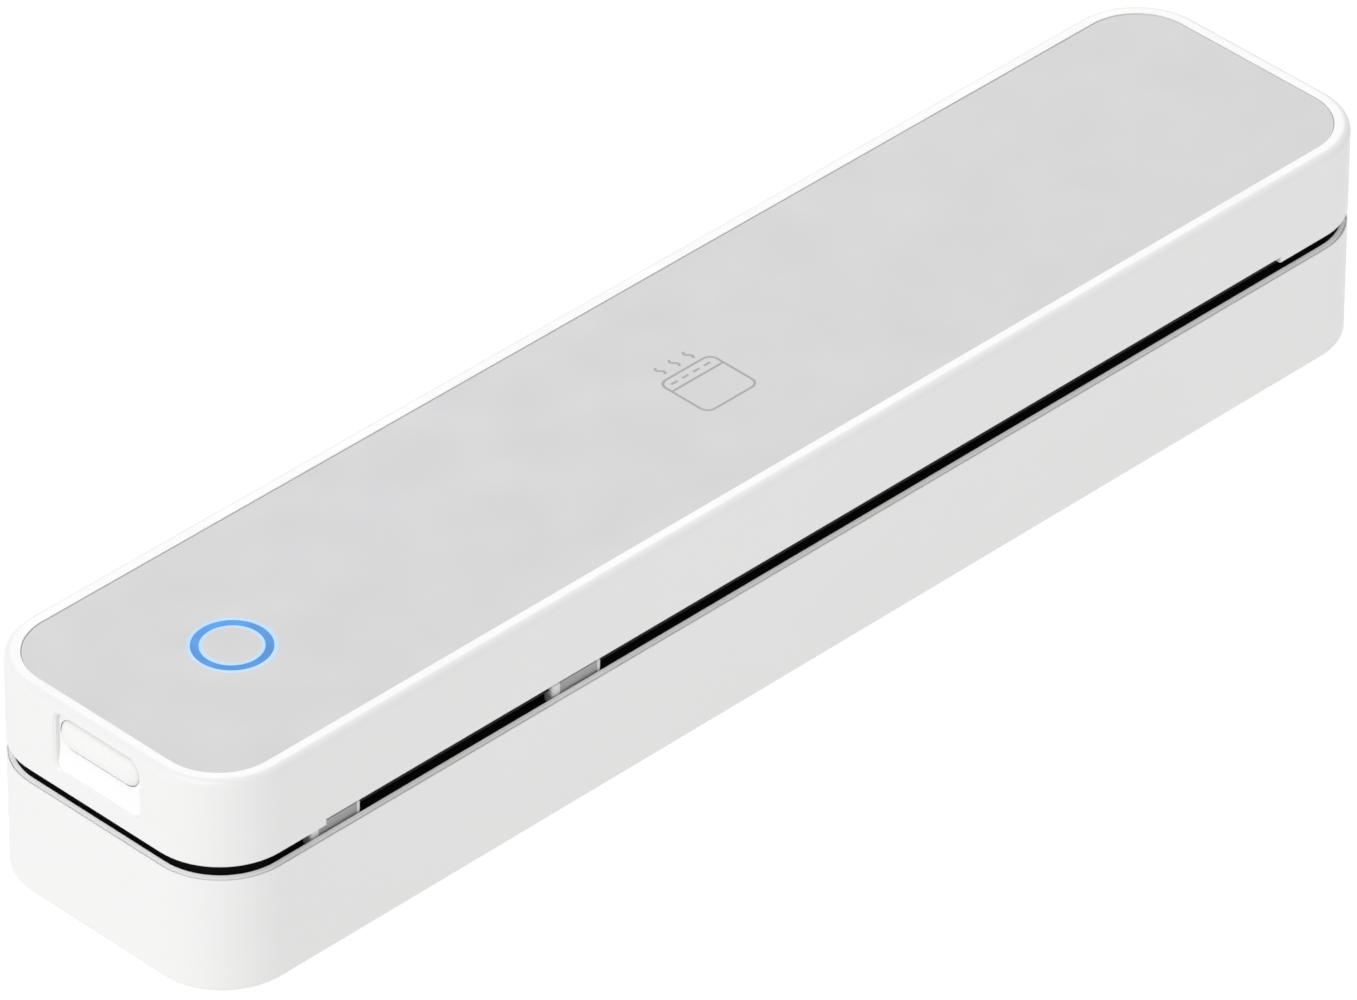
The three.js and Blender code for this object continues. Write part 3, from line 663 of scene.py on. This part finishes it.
def charge_socket():
    """Steel mouth with a tongue and its two rows of contacts."""
    mouth, back = SOCKET_HIGH.x, SOCKET_LOW.x
    rings = [(stadium(0), back), (stadium(0), mouth - 0.15), (stadium(-0.1), mouth)]
    rings += [(stadium(-0.25), mouth), (stadium(-0.3), mouth - 0.2), (stadium(-0.3), back + 0.6)]
    shell = stack("socket_shell", rings, "x")
    piece(shell, "base", SPRING_STEEL, ["charge_socket"])
    tongue_low, tongue_high = (back + 0.7, -3.3, SOCKET_Z - 0.35), (mouth - 1, 3.3, SOCKET_Z + 0.35)
    tongue = block("socket_tongue", tongue_low, tongue_high, 0.2, 0.2, "x")
    piece(tongue, "base", BLACK)
    contacts = []
    first, pitch = -2.45, 0.7
    for face in (-1, 1):
        for i in range(8):
            y = first + pitch * i
            z = SOCKET_Z + face * 0.36
            low = (back + 2.5, y - 0.15, z - 0.05)
            high = (mouth - 1.3, y + 0.15, z + 0.05)
            contacts.append(block("contact", low, high, 0.04, 0.04, "x", 2, 1))
    piece(merge("socket_contacts", contacts), "base", BRASS)


def base_deck():
    """Floor of the slot: a plate with low ribs, and a wall round its back and ends."""
    inset, edge = 1.45, 0.25
    profile = [(inset, DECK_LOW.z)]
    profile += arc((inset + edge, DECK_TOP - edge), edge, 180, 90, 3)
    plate = casing("slot_floor", profile)
    wall_in, thick, top = 3.2, 1.3, DECK_HIGH.z
    low = DECK_TOP - 0.5
    under, over = 20, 26  # heights past both sides of the plate, for its holes
    ring = [(wall_in, low)]
    ring += arc((wall_in + 0.3, top - 0.3), 0.3, 180, 90, 3)
    ring += arc((wall_in + thick - 0.3, top - 0.3), 0.3, 90, 0, 3)
    ring += [(wall_in + thick, low)]
    wall = casing("slot_wall", ring, closed=True)
    cut_out(wall, box("front", (-128, -HALF_Y, low - 1), (128, -HALF_Y + 12, top + 1)))
    cut_out(wall, box("latch", (-HALF_X, -6.15, low - 1), (-HALF_X + 10, 4.65, top + 1)))
    cut_out(wall, box("hinge", (HALF_X - 8, -14.7, low - 1), (HALF_X, 14.7, top + 1)))
    inner = block("inner_wall", (141.9, -15.5, low), (143.2, 15.5, top), 0.3, 0.3)
    join_on(plate, wall, inner)
    for x in range(-90, 91, 30):
        join_on(plate, block("rib", (x - 0.6, -12, low), (x + 0.6, 25, DECK_TOP + 0.5), 0.4, 0.3))
    for sx in (-1, 1):
        cut_out(plate, rod("lead_hole", 1.4, (sx * 126, -14.5), under, over, steps=24))
        for sy in (-1, 1):
            spot = (sx * BASE_POSTS[0], sy * BASE_POSTS[1])
            cut_out(plate, rod("screw_hole", SCREW_HOLE, spot, under, over, steps=24))
    cut_out(plate, rod("plunger_hole", 1.7, plan_centre("switch_plunger"), under, over, steps=32))
    cut_out(plate, box("harness_hole", (138, -6, under), (141.5, -3, over)))
    cut_out(plate, box("knuckle_slot", (143.7, -4.8, under), (HALF_X, 4.8, over)))
    piece(plate, "base", BLACK, ["base_deck"])


def heater():
    """Bed, flat heating ribbon, cloth over it, and a clamp at each end."""
    low, high = extent("heater_carrier")
    carrier = block("heater_bed", low, high, 0.5, 0.3, "x")
    piece(carrier, "base", DARK, ["heater_carrier"])
    ribbon_low, ribbon_high = extent("heating_ribbon")
    ribbon = block("ribbon", ribbon_low, ribbon_high, 0.09, 0.05, "x", 3, 2)
    piece(ribbon, "base", STEEL, ["heating_ribbon"])
    cover_strip()
    ribbon_clamp("ribbon_clamp_left")
    ribbon_clamp("ribbon_clamp_right")


def cover_strip():
    """Cloth folded over the heater bed, with rounded shoulders and hanging sides."""
    low, high = extent("cover_strip")
    y0, y1, top, hem = low.y, high.y, high.z, low.z
    thick, turn = 0.2, 1.1
    outline = [(y0, hem)] + arc((y0 + turn, top - turn), turn, 180, 90, 6)
    outline += arc((y1 - turn, top - turn), turn, 90, 0, 6) + [(y1, hem)]
    outline += [(y1 - thick, hem)] + arc((y1 - turn, top - turn), turn - thick, 0, 90, 6)
    outline += arc((y0 + turn, top - turn), turn - thick, 90, 180, 6) + [(y0 + thick, hem)]
    strip = stack("cover_cloth", [(outline, low.x), (outline, high.x)], "x")
    piece(strip, "base", CLOTH, ["cover_strip"])


def ribbon_clamp(node):
    """Brass block and the screw that holds the ribbon's end."""
    low, high = extent(node)
    top = 26.2
    body = block(node + "_body", low, (high.x, high.y, top), 0.5, 0.3)
    piece(body, "base", BRASS, [node])
    screw_head(node + "_screw", plan_centre(node), top - 0.05, high.z, 1.6, "base")


def screw_head(name, centre, seat, crown, radius, body, replaced=(), tip=None):
    """Domed cross-head screw that faces up or down, with a shank that ends at `tip` when that is given."""
    flip = 1 if crown > seat else -1
    rise = abs(crown - seat)
    dome = [(0.0, rise), (radius * 0.55, rise - 0.06), (radius * 0.85, rise * 0.62)]
    dome += [(radius, rise * 0.28), (radius, 0)]
    profile = [(r, seat + flip * h) for r, h in dome]
    shank = 1.2
    if tip is None:
        profile.append((0, seat))
    else:
        profile += [(shank, seat), (shank, tip + flip * 1.0), (0, tip)]
    head = turned(name, profile, centre, steps=40)
    depth = rise * 0.55
    ends = sorted((crown - flip * depth, crown + flip))
    reach, blade = radius * 0.58, 0.22
    for half_x, half_y in ((reach, blade), (blade, reach)):
        low = (centre[0] - half_x, centre[1] - half_y, ends[0])
        cut_out(head, box("cross", low, (centre[0] + half_x, centre[1] + half_y, ends[1])))
    piece(head, body, STEEL, replaced)


def bag_stop(node):
    """Grey stop block with white ends; the white is a painted highlight standing in for the light that falls
    on its end faces.
    """
    low, high = extent(node)
    top = high.z - 0.2
    left, right, lap = 1.9, 1.0, 0.6
    block_low, block_high = (low.x + left, low.y, low.z), (high.x - right, high.y, top)
    piece(block(node + "_block", block_low, block_high, 0.12, 0.12), "base", STOP_GREY, [node])
    # The white end pieces are painted highlight: white moulding on a grey stop, standing in for its lit end
    # faces.
    for side, start, width in (("left", low.x, left), ("right", high.x - right, right)):
        outer = (start, start + width + lap) if side == "left" else (start - lap, start + width)
        lit_end_low, lit_end_high = (outer[0], low.y, low.z), (outer[1], high.y, top)
        painted_lit_end = block(f"{node}_{side}_bumper", lit_end_low, lit_end_high, 0.55, 0.3)
        keep = box("keep", (start, low.y - 1, low.z - 1), (start + width, high.y + 1, high.z + 1))
        combine(painted_lit_end, keep, "INTERSECT")
        piece(painted_lit_end, "base", WHITE)


def latch_catch():
    """Black lip that the hook goes under, with a sloped lead-in."""
    low, high = extent("latch_catch")
    leg, under, lead = 1.3, 26.5, 0.9
    outline = [(low.x, low.z), (low.x + leg, low.z), (low.x + leg, under), (high.x, under)]
    outline += [(high.x, high.z - lead), (high.x - lead, high.z), (low.x, high.z)]
    made = prism("catch", outline, low.y, high.y, "y", 0.15)
    piece(made, "base", BLACK, ["latch_catch"])


def switch_plunger():
    """Pin with a collar that keeps it under the deck."""
    low, high = extent("switch_plunger")
    shaft, collar, collar_low, collar_high = 1.4, 2.2, 19, 20.2
    profile = [(0, low.z), (1.2, low.z), (shaft, low.z + 0.2), (shaft, collar_low), (collar, collar_low)]
    profile += [(collar, collar_high), (shaft, collar_high)]
    profile += [(shaft, high.z - 0.5), (1.2, high.z - 0.15), (0.8, high.z), (0, high.z)]
    pin = turned("plunger_pin", profile, plan_centre("switch_plunger"), steps=40)
    piece(pin, "plunger", DARK, ["switch_plunger"])


def foot(node):
    """Round rubber foot with a shallow dish under it."""
    low, high = extent(node)
    radius = (high.x - low.x) / 2
    edge, dish = 0.4, 0.12
    profile = [(0, low.z + dish), (radius - 1.6, low.z + dish), (radius - 1.2, low.z)]
    profile += arc((radius - edge, low.z + edge), edge, 270, 360, 4) + [(radius, high.z), (0, high.z)]
    piece(turned(node + "_pad", profile, plan_centre(node)), "base", RUBBER, [node])


def hinge():
    """Pin with chamfered ends, and the torsion spring round it with its leg on the base."""
    low, high = extent("hinge_pin")
    bevel, nose = 0.3, 0.8
    profile = [(0, low.y), (nose, low.y), (PIN, low.y + bevel)]
    profile += [(PIN, high.y - bevel), (nose, high.y), (0, high.y)]
    pin = turned("pin", profile, (HINGE.x, HINGE.z), "y", 32)
    piece(pin, "base", STEEL, ["hinge_pin"])
    radius = 2.0
    leg = [(-3.4, 5.1, -1.9), (-1.5, 5.1, -radius), (0, 5.12, -radius)]
    points = [(HINGE.x + x, y, HINGE.z + z) for x, y, z in leg]
    for along, u, v in helix(radius, 5.2, 8.4, turns=5, per_turn=28, first=-math.pi / 2):
        points.append((HINGE.x + u, along, HINGE.z + v))
    coil = tube("torsion_spring", points, 0.28)
    piece(coil, "base", SPRING_STEEL, ["hinge_spring"])


def build_base():
    """Everything that stays with the base, and the plunger."""
    base_casing()
    charge_socket()
    base_deck()
    heater()
    bag_stop("bag_stop_left")
    bag_stop("bag_stop_middle")
    latch_catch()
    switch_plunger()
    hinge()
    for number in range(1, 5):
        foot(f"foot_{number}")
        node = f"deck_screw_{number}"
        low, high = extent(node)
        screw_head(node + "_steel", plan_centre(node), DECK_TOP + 0.1, high.z, 2.4, "base", [node], low.z)


# ---------------------------------------------------------------- arm
def arm_casing():
    """Upper casing: a crowned rim round the panel, the latch's pocket and the outer knuckles."""
    low_edge, crown, lip = 0.3, 1.5, 0.12
    seat = PLATE_LOW.z - 0.1
    profile = arc((low_edge, ARM_BOTTOM + low_edge), low_edge, 270, 180, 5)
    profile += arc((crown, TOP - crown), crown, 180, 90, 12)
    profile += arc((INNER_RIM - lip, TOP - lip), lip, 90, 0, 3)
    profile += [(INNER_RIM, seat), (6.5, seat), (6.5, CEILING), (WALL, CEILING)]
    profile += [(WALL, ARM_BOTTOM + 0.3), (WALL - 0.3, ARM_BOTTOM)]
    shell = casing("arm_casing", profile, closed=True)
    cut_out(shell, notch_cut())
    low = (-HALF_X + 1.4, WINDOW_LOW[0] - 2, LINER_TOP + 0.1)
    join_on(shell, box("pocket_block", low, (-HALF_X + 8, WINDOW_HIGH[0] + 2, CEILING + 0.5)))
    stem_hole = box("stem_hole", (-HALF_X + 5, -6.3, 39.7), (-HALF_X + 9, 4.8, 43.3))
    cut_out(shell, latch_pocket(), stem_hole)
    cut_out(shell, relief_cut())
    for name, start, end in (("front_knuckle", -14, -9), ("back_knuckle", 9, 14)):
        join_on(shell, knuckle(name, start, end, 34.2))
    cut_out(shell, pin_bore())
    for spot in corners(ARM_POSTS):
        post = rod("post", 2.8, spot, LINER_TOP + 0.3, CEILING + 0.4, steps=32)
        join_on(shell, cut_out(post, rod("pilot", 1.3, spot, 31, 41, steps=24)))
    piece(shell, "arm", WHITE, ["arm_shell"])


def notch_cut():
    """Raised stretch of the arm's front edge, where the bag goes in, with its edge rounded like the rest."""
    top, edge = NOTCH_TOP, 0.3
    y = -HALF_Y
    outline = [(y - 1, ARM_BOTTOM - 1), (y + WALL + 0.5, ARM_BOTTOM - 1), (y + WALL + 0.5, top)]
    outline += arc((y + edge, top + edge), edge, 270, 180, 4) + [(y - 1, top + edge)]
    return prism("notch", outline, NOTCH_LEFT, NOTCH_RIGHT)


def latch_pocket():
    """Cutter for the latch window: a softly rounded mouth, then straight walls."""
    flare = 0.45
    rings = [(window_outline(flare), -HALF_X - 1.0)]
    for t in quarter(5):
        rings.append((window_outline(flare * (1 - math.sin(t))), -HALF_X + flare * math.sin(t)))
    rings.append((window_outline(0), -HALF_X + POCKET_DEPTH))
    return stack("latch_pocket", rings, "x")


def window_outline(grow):
    """Outline of the latch window, larger by `grow` all round."""
    low = (WINDOW_LOW[0] - grow, WINDOW_LOW[1] - grow)
    high = (WINDOW_HIGH[0] + grow, WINDOW_HIGH[1] + grow)
    return rounded_rectangle(low, high, WINDOW_RADIUS + grow, 8)


def latch_bezel():
    """Glossy insert in the window, its paler white a painted light for the brightly lit scoop: a scoop that
    slopes in to the bar, and a hole that the bar slides in.
    """
    face, back = -HALF_X, -HALF_X + 4.6
    outline = window_outline(-0.03)
    bezel = stack("latch_bezel", [(outline, face), (outline, back)], "x")
    (y0, z0), (y1, z1) = WINDOW_LOW, WINDOW_HIGH
    steps = 8
    front = [(face - 2, z0 - 1), (face + SCOOP_FOOT, z0 - 1)]
    for i in range(steps + 1):
        share = i / steps
        depth = SCOOP_FOOT + (SCOOP_DEPTH - SCOOP_FOOT) * math.sin(share * math.pi / 2)
        front.append((face + depth, z0 + (SCOOP_TOP - z0) * share))
    front += [(face + SCOOP_DEPTH, z1 + 1), (face - 2, z1 + 1)]
    cut_out(bezel, prism("slope", front, y0 - 1, y1 + 1, "y"))
    cut_out(bezel, bar_shape("bar_room", BAR_ROOM, back + 1))
    # paler white: painted light on the scoop
    piece(bezel, "arm", LIT_LATCH_WHITE)


def top_panel():
    """Satin plate inside the rim, with the hole for the ring."""
    inset, edge = 3.16, 0.12
    profile = [(inset, PLATE_LOW.z)]
    profile += arc((inset + edge, PANEL - edge), edge, 180, 90, 3)
    panel = casing("top_panel", profile)
    cut_out(panel, rod("ring_hole", RING_OUTER + 0.02, RING_CENTRE, PLATE_LOW.z - 1, TOP + 1, steps=128))
    piece(panel, "arm", PLATE, ["top_plate"])


def touch_ring():
    """Diffuser ring with its flange under the panel, and the touch disc inside it."""
    edge, under = 0.06, PLATE_LOW.z - 0.2
    flange_outer, flange_inner, flange_low = 8.8, 5, 44.6
    profile = [(RING_INNER + edge, PANEL), (RING_OUTER - edge, PANEL), (RING_OUTER, PANEL - edge)]
    profile += [(RING_OUTER, under), (flange_outer, under), (flange_outer, flange_low)]
    profile += [(flange_inner, flange_low), (flange_inner, under)]
    profile += [(RING_INNER, under), (RING_INNER, PANEL - edge)]
    ring = turned("glow_ring", profile, RING_CENTRE, steps=128)
    piece(ring, "arm", GLOW, ["light_ring"])
    radius, low = RING_INNER - 0.02, PLATE_LOW.z
    profile = [(0, low), (radius, low), (radius, PANEL - edge), (radius - edge, PANEL), (0, PANEL)]
    cap = turned("touch_cap", profile, RING_CENTRE, steps=128)
    piece(cap, "arm", PLATE, ["touch_disc"])


def pictogram():
    """A plain pouch with a seal line and three heat marks, printed in grey."""
    width, height = 0.27, 0.02
    middle = Vector((1.0, -1.0, PANEL))
    outline = rounded_rectangle((-6.6, -8.0), (6.6, 4.6), 1.8, 6)
    strokes = [[*outline, outline[0]], [(-6.6, 1.2), (6.6, 1.2)]]
    strokes += [[(-5.1 + 2.8 * i, 2.9), (-3.5 + 2.8 * i, 2.9)] for i in range(4)]
    for x in (-3.6, 0.0, 3.6):
        strokes.append([(x + 0.45 * math.sin(i / 8 * 2 * math.pi), 6.0 + 2.6 * i / 8) for i in range(9)])
    parts = []
    for line in strokes:
        parts.append(tube("stroke", [middle + Vector((u, v, 0)) for u, v in line], width, height))
    piece(merge("seal_pictogram", parts), "arm", PRINT)


def bar_shape(name, grow, back):
    """Half-round bar with pill ends, up to a flat back; grow adds room all round it."""
    inwards, deep = 3.3, 2.0
    radius = (BAR_HIGH.z - BAR_LOW.z) / 2 - 0.02
    rings = []
    for t in quarter(14):
        inset = inwards * (1 - math.sin(t)) - grow
        low, high = (BAR_LOW.y + inset, BAR_LOW.z + inset), (BAR_HIGH.y - inset, BAR_HIGH.z - inset)
        outline = rounded_rectangle(low, high, radius - inset, 14)
        rings.append((outline, BAR_LOW.x + deep * (1 - math.cos(t)) - grow))
    rings.append((rings[-1][0], back))
    made = stack(name, rings, "x")
    ridge, lean = 40.2, 0.5  # the front leans back above its ridge
    for vertex in made.data.vertices:
        z = vertex.co.z / MM
        if z > ridge and vertex.co.x / MM < BAR_LOW.x + deep:
            vertex.co.x += lean * (z - ridge) / (BAR_HIGH.z - ridge) * MM
    return made


def latch_bar():
    """The bar that the finger pushes, its stem, and the steel hook behind it."""
    grip = bar_shape("latch_bar", 0, BAR_LOW.x + 3.0)
    stem = block("latch_stem", (BAR_LOW.x + 2.4, -6, 40), (BAR_HIGH.x, 4.5, 43), 0.3, 0.1, "x")
    piece(join_on(grip, stem), "latch", BAR_WHITE, ["latch_button"])
    hook_low, hook_high = extent("latch_hook")
    back, top, nose = hook_low.x + 2.8, 43, 26.2
    outline = [(back, top), (back, nose), (hook_low.x, nose), (hook_low.x, nose - 0.5), (back, hook_low.z)]
    outline += [(hook_high.x, hook_low.z), (hook_high.x, top)]
    hook = prism("hook", outline, hook_low.y, hook_high.y, "y", 0.12)
    piece(hook, "latch", STEEL, ["latch_hook"])


def latch_spring():
    """Coil behind the hook, wound from the end at the latch to the end at the arm."""
    low, high = extent("latch_spring")
    wire = 0.25
    at_latch, at_arm = low.x + wire, high.x - wire
    y, z = (low.y + high.y) / 2, (low.z + high.z) / 2
    radius = (high.z - low.z) / 2 - wire
    turns = helix(radius, at_latch, at_arm, turns=5, per_turn=28)
    points = [(along, y + u, z + v) for along, u, v in turns]
    coil = tube("latch_coil", points, wire)
    paint(coil, SPRING_STEEL)
    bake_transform(coil)
    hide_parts("latch_spring")


def arm_liner():
    """Roof of the slot: a plate with long ribs, the safety switch's striker and a rib for the spring."""
    inset, edge = 2.5, 0.25
    under, over = 29, 33  # heights past both sides of the plate, for its holes
    profile = arc((inset + edge, LINER_LOW.z + edge), edge, 270, 180, 3)
    profile += [(inset, LINER_TOP)]
    plate = casing("slot_roof", profile)
    for y in (0.0, 9.0, 18.0):
        join_on(plate, block("rib", (-95, y - 0.5, LINER_LOW.z + 3.3), (85, y + 0.5, 31), 0.3, 0.2))
    shaft = [(0, LINER_LOW.z), (1.6, LINER_LOW.z), (2, LINER_LOW.z + 0.4), (2, 31), (0, 31)]
    join_on(plate, turned("striker", shaft, (100, 10), steps=32))
    join_on(plate, block("spring_rib", (-130, -5.75, 31.3), (-128.4, 4.25, 39.8), 0.4, 0.3))
    for spot in corners(ARM_POSTS):
        cut_out(plate, rod("screw_hole", SCREW_HOLE, spot, under, over, steps=24))
    cut_out(plate, box("hook_slot", (-144.5, -6.95, under), (-135.8, 5.45, over)))
    cut_out(plate, box("hinge_slot", (143.5, -RELIEF_HALF, under), (HALF_X, RELIEF_HALF, over)))
    cut_out(plate, box("harness_hole", (136, -6, under), (139, -3, over)))
    piece(plate, "arm", BLACK, ["arm_liner"])


def press_jaw():
    """Steel bar over the heater, with the silicone pad under it."""
    low, high = extent("press_bar")
    piece(block("jaw_bar", low, high, 0.3, 0.2, "x"), "arm", STEEL, ["press_bar"])
    low, high = extent("silicone_pad")
    pad = block("jaw_pad", low, high, 0.55, 0.3, "x")
    piece(pad, "arm", SILICONE, ["silicone_pad"])


def build_arm():
    """Everything that turns with the arm, and the latch."""
    arm_casing()
    latch_bezel()
    top_panel()
    touch_ring()
    pictogram()
    latch_bar()
    latch_spring()
    arm_liner()
    press_jaw()
    for number in range(1, 5):
        node = f"liner_screw_{number}"
        low, high = extent(node)
        screw_head(node + "_steel", plan_centre(node), low.z + 1, low.z, 2.2, "arm", [node], high.z)


def dress_inner_pieces():
    """Materials for the CAD nodes inside, which stay as they are."""
    dress("cell_1", WRAP)
    dress("cell_2", WRAP)
    dress("cell_cradle", DARK)
    dress("power_stage", DARK)
    dress("main_board", BOARD)
    dress("touch_board", BOARD)
    dress("safety_switch", BLACK)
    for node in ("lead_plus", "heater_lead_left", "heater_lead_right"):
        dress(node, RED)
    for node in ("lead_minus", "harness_base", "harness_arm"):
        dress(node, LEAD_BLACK)


# ---------------------------------------------------------------- studio
AZIMUTH, ELEVATION, ROLL = -44.90, 36.04, 0.16  # degrees
DISTANCE = 2606.1  # from the camera to the middle of the sealer
LENS, SENSOR = 377.3, 36.0
AIM = Vector((0, 0, 24))
SIDEWAYS, UPWARDS = -2.87, -3.52  # how far the lens axis passes beside the middle of the sealer
SKY = 0.56  # radiance of the even light from all round
KEY = (-0.6, -0.05, 0.80), 1.36, 50  # direction, irradiance, width in degrees
BACK = (0.5, 0.6, 0.62), 0.6, 30
FLOOR_GLOW = 0.9  # keeps the floor a plain white
FLOOR_RADIUS, FLOOR_DEPTH = 9000, 20


def make_camera():
    """Camera at the photo's view, far off with a long lens."""
    a, e, r = (math.radians(x) for x in (AZIMUTH, ELEVATION, ROLL))
    back = Vector((math.sin(a) * math.cos(e), -math.cos(a) * math.cos(e), math.sin(e)))
    right = Vector((math.cos(a), math.sin(a), 0))
    up = back.cross(right)
    right, up = math.cos(r) * right + math.sin(r) * up, math.cos(r) * up - math.sin(r) * right
    data = bpy.data.cameras.new("camera")
    data.lens = LENS
    data.sensor_width = SENSOR
    data.clip_start, data.clip_end = 0.05, 50
    camera = bpy.data.objects.new("camera", data)
    spot = (AIM + back * DISTANCE + right * SIDEWAYS + up * UPWARDS) * MM
    camera.matrix_world = Matrix.Translation(spot) @ Matrix((right, up, back)).transposed().to_4x4()
    bpy.context.scene.collection.objects.link(camera)
    bpy.context.scene.camera = camera


def soft_sun(name, direction, irradiance, spread):
    """A large far softbox: its light is even over the whole sealer and its shadows are soft."""
    data = bpy.data.lights.new(name, "SUN")
    data.energy = irradiance
    data.angle = math.radians(spread)
    light = bpy.data.objects.new(name, data)
    light.rotation_mode = "QUATERNION"
    light.rotation_quaternion = Vector(direction).to_track_quat("Z", "Y")
    bpy.context.scene.collection.objects.link(light)


def make_studio():
    """Even light, two large softboxes and a plain pale floor."""
    scene = bpy.context.scene
    scene.view_settings.view_transform = "Standard"
    world = bpy.data.worlds.new("studio")
    world.use_nodes = True
    world.node_tree.nodes["Background"].inputs["Color"].default_value = (1, 1, 1, 1)
    world.node_tree.nodes["Background"].inputs["Strength"].default_value = SKY
    scene.world = world
    soft_sun("key", *KEY)
    soft_sun("back", *BACK)
    floor = rod("floor", FLOOR_RADIUS, (0, 0), -FLOOR_DEPTH, 0, steps=96)
    paper = Finish("floor_paper", (0.14, 0.14, 0.14), 0.9)
    paper.bump((paper.noise(per_mm(2), 2), 0.02, 0.1))
    paper.shader.inputs["Specular IOR Level"].default_value = 0
    paper.shader.inputs["Emission Color"].default_value = (1, 1, 1, 1)
    paper.shader.inputs["Emission Strength"].default_value = FLOOR_GLOW
    floor.data.materials.append(paper.material)


make_camera()
build_base()
build_arm()
dress_inner_pieces()
make_studio()
